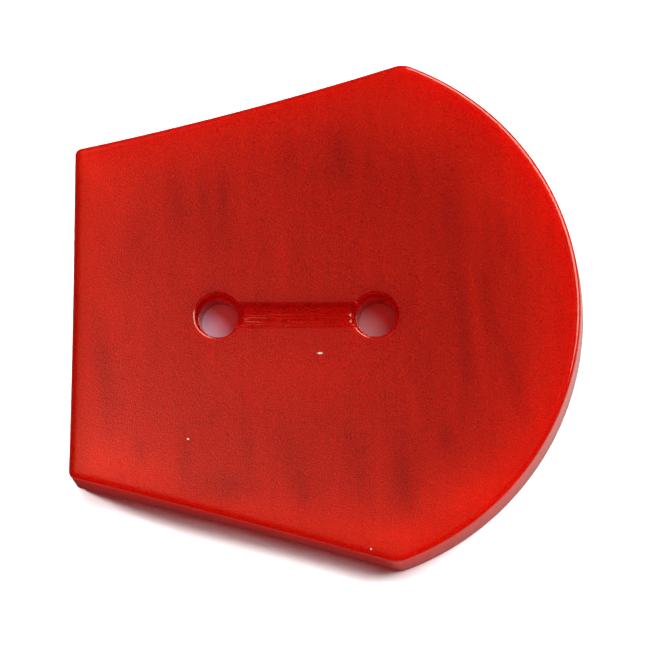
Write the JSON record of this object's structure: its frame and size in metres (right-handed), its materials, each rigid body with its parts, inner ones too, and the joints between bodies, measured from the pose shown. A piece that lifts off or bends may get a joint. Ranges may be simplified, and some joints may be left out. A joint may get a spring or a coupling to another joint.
{
  "type": "sew-through button",
  "caption": "Flat bell-shaped sew-through button with a dished face, thread holes in round pockets and a thread channel between them.",
  "frame": {"origin": "middle of the length, on the centre line of the flat back", "axes": "+Z out of the face, +X from the straight end to the round end, +Y across the button"},
  "size_m": [0.03, 0.0298, 0.0037],
  "materials": {
    "red_pearl": "satin red plastic, slightly translucent, with soft pearly streaks"
  },
  "bodies": {
    "root": {"button": "red_pearl"}
  },
  "joints": []
}
